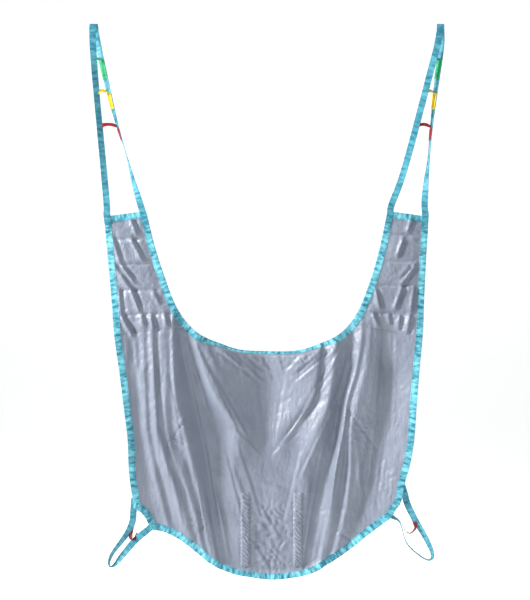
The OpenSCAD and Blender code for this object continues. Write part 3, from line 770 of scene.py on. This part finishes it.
def thread_material(name):
    s = Shader(name, 0.5, sheen=0.3)
    twist = s.wave(s.scaled(900, 900, 45), "X")
    s.colour(s.ramp(twist, [(0.2, (0.02, 0.26, 0.36)), (0.8, (0.05, 0.42, 0.52))]))
    s.bump([(twist, 0.06)])
    return s.material


def plastic(name):
    s = Shader(name, 0.4)
    cloud = s.noise(s.scaled(1, 1), 60.0, 3.0)
    s.colour(s.ramp(cloud, [(0.3, (0.72, 0.72, 0.70)), (0.7, (0.80, 0.80, 0.78))]))
    s.bump([(s.noise(s.scaled(1, 1), 900.0, 2.0), 0.02)])
    return s.material


SATIN = satin("grey_satin")
# Each tape's two colours run from the painted shade in its pucker hollows to the painted highlight on their
# crests, mixed with random tone.
STRAP = tape_cloth("turquoise_webbing", (0.016, 0.13, 0.19), (0.085, 0.33, 0.41), False)
BINDING = tape_cloth("turquoise_binding", (0.012, 0.12, 0.18), (0.17, 0.52, 0.61), True)
LOOP_CLOTH = {
    "green": tape_cloth("green_tape", (0.003, 0.20, 0.07), (0.006, 0.36, 0.14), False),
    "yellow": tape_cloth("yellow_tape", (0.42, 0.29, 0.008), (0.66, 0.50, 0.02), False),
    "red": tape_cloth("red_tape", (0.16, 0.001, 0.006), (0.30, 0.003, 0.014), False),
}
SHOULDER_RED = tape_cloth("dark_red_tape", (0.10, 0.0008, 0.004), (0.20, 0.002, 0.010), False)
THREAD = thread_material("sewing_thread")
STAY = plastic("stay_plastic")

# ---- Tapes ----

# A tape's section, as (across, through), each from -1 to 1, anticlockwise: one half and its opposite
HALF_SECTION = [(x, -1) for x in (-0.96, -0.6, -0.2, 0.2, 0.6, 0.96)] + [(1, -0.4), (1, 0.4)]
SECTION = np.array(HALF_SECTION + [(-x, -y) for x, y in HALF_SECTION])
ACROSS, THROUGH = SECTION[None, :, :1], SECTION[None, :, 1:]


def frames(line):
    """Directions across and through a tape at each point of its line."""
    centre = line[:, :3]
    along = unit(np.gradient(centre, axis=0))
    turn = np.radians(line[:, 3])
    u = np.column_stack([np.cos(turn), -np.sin(turn), 0 * turn])
    across = unit(u - along * np.sum(u * along, axis=1, keepdims=True))
    through = np.cross(along, across)
    if line.shape[1] > 4:
        roll = np.radians(line[:, 4:5])
        level, upright = across, through
        across = level * np.cos(roll) + upright * np.sin(roll)
        through = upright * np.cos(roll) - level * np.sin(roll)
    return across, through


def ribbon(name, line, width, thickness, material, spacing, ripple, seed):
    """A tape along a line of [x, y, z, twist]. Ripple is how far it puckers, at each point or all along."""
    s = distances(line)
    count = max(8, int(s[-1] / spacing))
    fine = divided(line, count)
    across, through = frames(fine)
    length = distances(fine)
    if callable(ripple):
        ripple = ripple(fine)
    wobble = ripple * (
        np.sin(TURN * length / 12 + 2 * ripples(length, length * 0, 90, seed))
        + 0.6 * np.sin(TURN * length / 31 + seed)
    )
    rings = (
        fine[:, None, :3]
        + across[:, None, :] * (ACROSS * width / 2)
        + through[:, None, :] * (THROUGH * thickness / 2)
        + (through * np.broadcast_to(wobble, (count,))[:, None])[:, None, :] * (1 - 0.35 * ACROSS)
    )
    uv = np.stack(np.broadcast_arrays(ACROSS[..., 0] * width / 2 + width / 2, length[:, None]), axis=-1)
    return swept(name, rings, uv, material)


def strap_line(front, rear, ends):
    """A strap: up the front run, over the hook, and down the rear run, with its ends on the leg section."""
    over = []
    for k in range(1, 12):
        a = math.pi * k / 12
        x = front[0][0] + (rear[0][0] - front[0][0]) * k / 12
        over.append((x, -RUN_Y * math.cos(a), -HOOK_R + RUN_Y * math.sin(a), 0))
    first = spline(list(front) + ends[0], 6)[::-1]
    last = spline(list(rear) + ends[1], 6)
    return np.vstack([first, over, last])


def sewn_end(line, heights, side, inset, lift):
    """Where a strap lies on a leg section's binding, as [x, y, z, twist] at each height."""
    found = []
    for z in heights:
        x = point_at(line, z)[0] + side * inset
        found.append((x, cloth_at(x, z) - lift, z, 0))
    return found


STRAP_LIFT = LEG_EDGE_HALF + BINDING_T + WEBBING_T / 2 + 0.5
SEWN_Z = (-592, -606, -622)
strap_ends = {
    "left": [
        sewn_end(left_side, SEWN_Z, 1, TAPE_W / 2, STRAP_LIFT),
        sewn_end(left_inner, SEWN_Z, -1, TAPE_W / 2, STRAP_LIFT),
    ],
    "right": [
        sewn_end(right_inner, SEWN_Z, 1, TAPE_W / 2, STRAP_LIFT),
        sewn_end(right_side, SEWN_Z, -1, TAPE_W / 2, STRAP_LIFT),
    ],
}
RUNS = {"left": (LEFT_FRONT_RUN, LEFT_REAR_RUN), "right": (RIGHT_FRONT_RUN, RIGHT_REAR_RUN)}


def lower_ripple(fine):
    """The straps pucker along the binding seam, below the coloured loops."""
    return 0.12 + 0.4 * smoothstep((-fine[:, 2] - 420) / 60)


def bend_strap(piece):
    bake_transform(piece)


def run_point(run, z):
    """The point of a run at a height, with the directions across it and out of its face towards +Y."""
    fine = spline(run, 6)
    p = np.array([np.interp(-z, -fine[:, 2], fine[:, k]) for k in range(4)])
    turn = math.radians(p[3])
    across = np.array([math.cos(turn), -math.sin(turn), 0])
    return p, across, np.array([math.sin(turn), math.cos(turn), 0])


SEWN_OFF = 0.5  # a coloured tape lies this far off the strap
TACK_MARGIN = 6  # a tack is so much narrower than its tape
BIGHT_ROLL = 36  # the loops' bights lean, so that their width shows from the front


def on_run(run, z, inwards, off):
    p, _, out = run_point(run, z)
    q = p[:3] + out * inwards * (WEBBING_T / 2 + off)
    return [*q, p[3]]


def coloured_line(front, rear, z, ends, rise):
    """A coloured tape: down one run, over in a bight, and down the other."""
    off = LOOP_TAPE_T / 2 + SEWN_OFF
    a, b = np.array(on_run(front, z, 1, off)), np.array(on_run(rear, z, -1, off))
    line = [[*on_run(front, z - ends * (1 - k / 4), 1, off), 0] for k in range(4)]
    for k in range(13):
        t = k / 12
        p = a + (b - a) * (1 - math.cos(math.pi * t)) / 2
        p[2] += rise * math.sin(math.pi * t)
        p[3] += 60 * math.sin(math.pi * t) * min(1, (b[0] - a[0]) / 40)
        line.append([*p, BIGHT_ROLL * math.sin(math.pi * t) ** 0.7])
    line += [[*on_run(rear, z - ends * k / 4, -1, off), 0] for k in range(1, 5)]
    return np.array(line, float)


def stitch_block(centre, along, across, out, width, height=7.5, pitch=1.15):
    """A bar tack: short threads lying side by side, as solids of a few sides each."""
    solids = []
    for k in range(int(width / pitch)):
        at = (k + 0.5) * pitch - width / 2
        lean = 0.25 * pitch * (-1) ** k
        ends = []
        for t in (-1, -0.9, 0, 0.9, 1):
            rise = 0.42 * (1 - t**6)
            middle = centre + across * (at + lean * t) + along * (t * height / 2) + out * rise
            radius = 0.5 * (1 - 0.6 * abs(t) ** 8)
            ends.append([
                middle + (across * math.cos(a) + out * math.sin(a)) * radius
                for a in np.arange(6) * math.pi / 3
            ])
        solids.append(tube(np.array(ends)))
    return solids


for side in ("left", "right"):
    front, rear = RUNS[side]
    line = strap_line(front, rear, strap_ends[side])
    strap = ribbon(f"{side}_strap_tape", line, TAPE_W, WEBBING_T, STRAP, 3.0, lower_ripple, len(side))
    bend_strap(strap)
    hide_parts(f"{side}_strap")
    for colour, z, ends, rise in COLOURED_LOOPS:
        tacks = []
        loop = ribbon(
            f"{side}_{colour}_tape", coloured_line(front, rear, z, ends, rise), LOOP_TAPE_W, LOOP_TAPE_T,
            LOOP_CLOTH[colour], 2.0, 0.08, int(-z),
        )
        settle(loop, f"{side}_strap", f"{side}_{colour}_loop")
        for run, inwards in ((front, 1), (rear, -1)):
            p, across, out = run_point(run, z - ends + 8)
            upper = run_point(run, z - ends + 12)[0]
            along = unit(upper[:3] - p[:3])
            face = out * inwards
            centre = p[:3] + face * (WEBBING_T / 2 + SEWN_OFF + LOOP_TAPE_T)
            tacks += stitch_block(centre, along, across, face, LOOP_TAPE_W - TACK_MARGIN, 2.5)
        sewing = joined(f"{side}_{colour}_tacks", tacks, LOOP_CLOTH[colour])
        settle(sewing, f"{side}_strap", f"{side}_strap_stitching")

# ---- Bindings ----

FLANGE_STEPS = (1.0, 0.92, 0.75, 0.55, 0.35, 0.18, 0.08)


def edge_normals(edge, inward):
    d = unit(np.gradient(edge, axis=0))
    return np.column_stack([-d[:, 1], d[:, 0]]) * inward


def binding_rings(edge, inward, half, which, seed, pucker):
    """Rings of a tape that is folded round the cloth's edge and follows its hang."""
    count = max(6, int(distances(edge)[-1] / 2.6))
    edge = divided(edge, count)
    normal = edge_normals(edge, inward)
    s = distances(edge)
    wide = seen_width(edge[:, 0], edge[:, 1], which)
    outer = half + BINDING_T
    profile = [(d, -outer) for d in FLANGE_STEPS]
    profile += [(-0.0, -outer * 0.8), (-0.02, 0.0), (-0.0, outer * 0.8)]
    profile += [(d, outer) for d in FLANGE_STEPS[::-1]]
    profile += [(1.0, half + 0.1), (0.08, half + 0.1), (0.08, -half - 0.1), (1.0, -half - 0.1)]
    profile = np.array(profile)
    flat = edge[:, None, :] + normal[:, None, :] * (wide[:, None] * profile[None, :, 0])[..., None]
    middle = cloth_y(flat[..., 0], flat[..., 1])
    phase = TURN * (s[:, None] + 5 * profile[None, :, 0]) / 11.5
    phase = phase + 2.2 * ripples(s, s * 0, 70, seed)[:, None]
    share = 0.45 + 0.55 * ripples(s, s * 0, 130, seed + 7)[:, None]
    held = np.sin(math.pi * np.clip(0.12 + profile[None, :, 0], 0, 1)) ** 0.6
    wave = pucker * share * np.sin(phase) * held
    y = middle + profile[None, :, 1] + wave
    rings = np.stack([flat[..., 0], y, flat[..., 1]], axis=-1)
    if inward < 0:
        rings = rings[:, ::-1]
        profile = profile[::-1]
    u = np.abs(profile[:, 0]) * TAPE_W
    uv = np.stack(np.broadcast_arrays(u[None, :], s[:, None]), axis=-1)
    return rings, uv


def edge_binding(name, edge, inward, half, which, seed, pucker):
    rings, uv = binding_rings(edge, inward, half, which, seed, pucker)
    piece = swept(name, rings, uv, BINDING, 60)
    return piece


def bend_leg(piece):
    """Bakes the placement of a piece that lies across the seat fold, between a leg section and the body,
    into its mesh.
    """
    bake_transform(piece)


SIDES = {
    "left": (left_side, left_inner, LEFT_SEAM_Z, LEFT_ROWS_Z, 1),
    "right": (right_side, right_inner, RIGHT_SEAM_Z, RIGHT_ROWS_Z, -1),
}
BINDING_TOP_Z = -589
CORNER_GAP = 6  # the end binding stops this far short of the corners
for side, (outer, inner, seam, _, inward) in SIDES.items():
    a, b = point_at(outer, LEG_TOP_OUTER_Z), point_at(inner, LEG_TOP_INNER_Z)
    along = unit(b - a)
    top = divided(np.vstack([a + along * CORNER_GAP, b - along * CORNER_GAP]), 30)
    for place, edge, facing, half, seed, pucker in (
        ("leg_outer", between(outer, BINDING_TOP_Z, seam[0]), inward, LEG_EDGE_HALF, 11, 1.1),
        ("leg_inner", between(inner, BINDING_TOP_Z, seam[1]), -inward, LEG_EDGE_HALF, 12, 1.1),
        ("side", between(outer, seam[0], outer[-1, 1]), inward, PANEL_HALF, 13, 0.8),
        ("leg_end", top, -inward, LEG_EDGE_HALF, 14, 0.5),
    ):
        tape = edge_binding(f"{side}_{place}_tape", edge, facing, half, "side", seed, pucker)
        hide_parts(f"{side}_{place}_binding")
        if place == "side":
            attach(tape, "back")
        elif place == "leg_end":
            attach(tape, f"{side}_leg")
        else:
            bend_leg(tape)

low = (aperture[:, 1] < LEFT_SEAM_Z[1]) | (aperture[:, 0] > 0) & (aperture[:, 1] < RIGHT_SEAM_Z[1] - 1)
ends = point_at(left_inner, LEFT_SEAM_Z[1]), point_at(right_inner, RIGHT_SEAM_Z[1])
seat = np.vstack([ends[0], aperture[low], ends[1]])
for place, edge, inward, half, which, seed, pucker in (
    ("seat", seat, -1, PANEL_HALF, "aperture", 15, 0.7),
    ("head", head_edge, 1, PANEL_HALF, "head", 16, 0.7),
    ("left_corner", spline(LEFT_CORNER, 8), 1, PANEL_HALF + 0.25, "side", 17, 1.0),
    ("right_corner", spline(RIGHT_CORNER, 8), 1, PANEL_HALF + 0.25, "side", 18, 1.0),
):
    tape = edge_binding(f"{place}_tape", edge, inward, half, which, seed, pucker)
    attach(tape, "back")
    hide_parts("aperture_binding" if place == "seat" else f"{place}_binding")

# ---- The body ----

EDGE_INSET = 1.6  # the cloth ends this far inside the fold of its binding


def inset(line, inward, depth=EDGE_INSET):
    return line + edge_normals(line, inward) * depth


def coons(top, bottom, left, right, columns, rows):
    """A grid of [x, z] over the space between four edges."""
    top, bottom = divided(top, columns), divided(bottom, columns)
    left, right = divided(left, rows), divided(right, rows)
    u = np.linspace(0, 1, columns)[None, :, None]
    v = np.linspace(0, 1, rows)[:, None, None]
    across = (1 - v) * top[None] + v * bottom[None]
    down = (1 - u) * left[:, None] + u * right[:, None]
    corners = (
        (1 - u) * (1 - v) * top[0] + u * (1 - v) * top[-1] + (1 - u) * v * bottom[0] + u * v * bottom[-1]
    )
    return across + down - corners


left_edge = inset(between(left_side, LEFT_SEAM_Z[0], left_side[-1, 1]), 1)
right_edge = inset(between(right_side, RIGHT_SEAM_Z[0], right_side[-1, 1]), -1)
seat_edge = inset(seat, -1)
body_top = np.vstack([left_edge[:1], seat_edge, right_edge[:1]])
corner_left, corner_right = spline(LEFT_CORNER, 6), spline(RIGHT_CORNER, 6)
low_edge = inset(np.vstack([corner_left, head_edge[1:-1], corner_right]), 1)
body_low = np.vstack([left_edge[-1:], low_edge[2:-2], right_edge[-1:]])
BODY_COLUMNS, BODY_ROWS = 300, 230
body_flat = coons(body_top, body_low, left_edge, right_edge, BODY_COLUMNS, BODY_ROWS)
body_y = cloth_y(body_flat[..., 0], body_flat[..., 1])
body = shell("back_cloth", body_flat, body_y - PANEL_HALF, body_y + PANEL_HALF, SATIN)
settle(body, "back", "back_panel")

# ---- Stay channels ----

for side, middle in zip(("left", "right"), CHANNELS_X):
    z = np.arange(CHANNEL_TOP_Z, CHANNEL_BOTTOM_Z, -2.0)
    across = np.linspace(-CHANNEL_W / 2, CHANNEL_W / 2, 17)
    X, Z = np.meshgrid(middle + across, z)
    off = np.abs(X - middle) / (CHANNEL_W / 2)
    crown = 3.4 * (1 - off**4) * window(Z, CHANNEL_BOTTOM_Z, CHANNEL_TOP_Z, 8)
    wander = 2.6 * ripples(X, Z, 45, int(middle) + 200)
    tucks = np.sin(TURN * (Z + 0.9 * (X - middle)) / CHANNEL_TUCK_PITCH + wander)
    y = cloth_y(X, Z) - PANEL_HALF - 0.35 - crown + 1.3 * tucks * (1 - off**3)
    channel = shell(f"{side}_channel_cloth", np.stack([X, Z], axis=-1), y - 0.35, y + 0.35, SATIN)
    settle(channel, "back", f"{side}_stay_channel")
    z = np.arange(CHANNEL_TOP_Z - 14, CHANNEL_BOTTOM_Z + 14, -3.0)
    X, Z = np.meshgrid(middle + np.linspace(-STAY_W / 2 + 3, STAY_W / 2 - 3, 7), z)
    y = cloth_y(X, Z) - PANEL_HALF
    stay = shell(f"{side}_stay_strip", np.stack([X, Z], axis=-1), y - 1.4, y - 0.5, STAY)
    settle(stay, "back", f"{side}_stay")

# ---- Leg sections ----

for side, (outer, inner, seam, rows_z, inward) in SIDES.items():
    outer_edge = inset(between(outer, LEG_TOP_OUTER_Z - 2, seam[0]), inward)
    inner_edge = inset(between(inner, LEG_TOP_INNER_Z - 2, seam[1]), -inward)
    top = np.vstack([outer_edge[0], inner_edge[0]])
    low = np.vstack([outer_edge[-1], inner_edge[-1]])
    flat = coons(top, low, outer_edge, inner_edge, 90, 170)
    if inward < 0:
        flat = flat[:, ::-1]
    X, Z = flat[..., 0], flat[..., 1]
    edge_gap = np.minimum(nearest(X, Z, outer[::4])[0], nearest(X, Z, inner[::4])[0])
    edge_gap = np.minimum(edge_gap, nearest(X, Z, top)[0])
    swell = smoothstep((edge_gap - 20) / 26)
    share = (X - X.min(axis=1, keepdims=True)) / np.ptp(X, axis=1, keepdims=True)
    for z in rows_z:
        lean = -8 * (share if side == "right" else 1 - share) if z == rows_z[-1] else 0
        swell = swell * (1 - np.exp(-(((Z - z - lean) / 6.5) ** 2)))
    swell = swell * smoothstep((-Z + seam_height(X, seam, outer_edge[-1, 0], inner_edge[-1, 0])) / -30)
    half = LEG_EDGE_HALF * (1 - 0.7 * smoothstep((-Z - 905) / 50)) + LEG_PUFF * swell
    y = cloth_y(X, Z)
    pad = shell(f"{side}_leg_pad", flat, y - half, y + half, SATIN)
    bend_leg(pad)
    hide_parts(f"{side}_leg_front_layer", f"{side}_leg_padding", f"{side}_leg_back_layer")
    tacks = []
    for line, dx in ((outer, inward), (inner, -inward)):
        for z in (-598, -616):
            p = point_at(line, z)
            x = p[0] + dx * TAPE_W / 2
            y = cloth_at(x, z) - STRAP_LIFT - WEBBING_T / 2
            tacks += stitch_block(
                np.array([x, y, z]), np.array([0, 0, 1.0]), np.array([1.0, 0, 0]), np.array([0, -1.0, 0]),
                TAPE_W - TACK_MARGIN, 3.0,
            )
    sewing = joined(f"{side}_leg_tacks", tacks, THREAD)
    settle(sewing, f"{side}_leg", f"{side}_leg_stitching")

# ---- Shoulder loops ----

SHOULDERS = {
    "left": (LEFT_SHOULDER, LEFT_SHOULDER_ENDS, LEFT_RED, LEFT_SHOULDER_AXIS, -1),
    "right": (RIGHT_SHOULDER, RIGHT_SHOULDER_ENDS, RIGHT_RED, RIGHT_SHOULDER_AXIS, 1),
}


def behind_binding(points):
    """Sewn ends [x, z, twist] laid against the back of the binding."""
    lay = PANEL_HALF + BINDING_T + WEBBING_T / 2 + 0.6
    return [(x, cloth_at(x, z) + lay, z, twist) for x, z, twist in points]


shoulder_tacks = []
for side, (route, ends, red, axis, outward) in SHOULDERS.items():
    line = spline(behind_binding(ends[0]) + list(route) + behind_binding(ends[1]), 6)
    loop = ribbon(f"{side}_shoulder_tape", line, TAPE_W, WEBBING_T, STRAP, 2.5, 0.22, 30 + len(side))
    a, b = (np.array([p[0], SHOULDER_Y, p[1]], float) for p in axis)
    along = unit(b - a)
    out = np.array([along[2], 0, -along[0]])
    if out[0] * outward < 0:
        out = -out
    middle = (a + b) / 2
    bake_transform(loop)
    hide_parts(f"{side}_shoulder_loop", f"{side}_shoulder_ends")
    tape = ribbon(
        f"{side}_shoulder_red_tape", spline(red, 5), RED_TAPE_W, LOOP_TAPE_T, SHOULDER_RED, 1.5, 0.1, 5
    )
    settle(tape, f"{side}_shoulder_loop", f"{side}_shoulder_red_loop")
for x, z, turn in ((-400, -1490, 0), (-350, -1562, 25), (412, -1450, 15), (372, -1534, -40)):
    y = cloth_at(x, z) - PANEL_HALF - BINDING_T - 0.5
    a = math.radians(turn)
    shoulder_tacks += stitch_block(
        np.array([x, y, z], float), np.array([math.sin(a), 0, math.cos(a)]),
        np.array([math.cos(a), 0, -math.sin(a)]), np.array([0, -1.0, 0]), 14, 5.0,
    )
sewing = joined("shoulder_tacks", shoulder_tacks, THREAD)
settle(sewing, "back", "shoulder_stitching")

# ---- Studio ----

CAMERA_DISTANCE = 3.906  # lengths in this section are metres, the lens apart
CAMERA_LENS = 75
CAMERA_X, CAMERA_Z = -0.0047, -0.861
FLOOR_Z = -2.05
BACK_Y = 9.0


def backdrop():
    """A floor that turns up into a wall behind the object."""
    bend = 2.5
    profile = [(-9.0, FLOOR_Z), (-2.0, FLOOR_Z), (BACK_Y - bend, FLOOR_Z)]
    for k in range(1, 13):
        a = math.pi / 2 * k / 12
        profile.append((BACK_Y - bend + bend * math.sin(a), FLOOR_Z + bend - bend * math.cos(a)))
    profile.append((BACK_Y, 7.0))
    xs = np.linspace(-10, 10, 21)
    points = np.array([[(x, y, z) for x in xs] for y, z in profile]) / MM
    flat = np.array([[(x, k * 0.5) for x in xs] for k in range(len(profile))]) / MM
    faces = grid_faces(len(profile), len(xs))
    s = Shader("pale_paper", 0.9)
    grain = s.noise(s.scaled(1, 1), 3.0, 3.0)
    s.colour(s.ramp(grain, [(0.3, (0.86, 0.86, 0.86)), (0.7, (0.89, 0.89, 0.89))]))
    s.bump([(s.noise(s.scaled(1, 1), 240.0, 3.0), 0.1)])
    s.shader.inputs["Emission Color"].default_value = (1, 1, 1, 1)
    s.shader.inputs["Emission Strength"].default_value = 0.45
    return make("floor", points.reshape(-1, 3), faces, flat.reshape(-1, 2), s.material)


backdrop()


def area_light(name, place, target, size, power, tint=(1, 1, 1)):
    data = bpy.data.lights.new(name, "AREA")
    data.shape = "RECTANGLE"
    data.size, data.size_y = size
    data.energy = power
    data.color = tint
    lamp = bpy.data.objects.new(name, data)
    lamp.location = place
    lamp.rotation_euler = (Vector(target) - Vector(place)).to_track_quat("-Z", "Y").to_euler()
    bpy.context.scene.collection.objects.link(lamp)


TARGET = (0, 0, -1.0)
area_light("key", (-4.0, -1.25, 0.8), TARGET, (1.1, 1.5), 440)
area_light("fill", (2.0, -3.4, 0.0), TARGET, (2.5, 2.5), 30)
area_light("top", (0, -1.2, 2.4), TARGET, (2.5, 1.5), 80)
area_light("rear", (1.5, 2.2, 0.8), TARGET, (1.5, 1.5), 30)

world = bpy.data.worlds.new("studio")
world.use_nodes = True
world.node_tree.nodes["Background"].inputs["Color"].default_value = (0.93, 0.96, 1.0, 1)
world.node_tree.nodes["Background"].inputs["Strength"].default_value = 0.19
bpy.context.scene.world = world
bpy.context.scene.view_settings.view_transform = "Standard"

camera_data = bpy.data.cameras.new("camera")
camera_data.lens = CAMERA_LENS
camera_data.sensor_width = 36
camera = bpy.data.objects.new("camera", camera_data)
camera.location = (CAMERA_X, -CAMERA_DISTANCE, CAMERA_Z)
camera.rotation_euler = (math.radians(90), 0, 0)
bpy.context.scene.collection.objects.link(camera)
bpy.context.scene.camera = camera
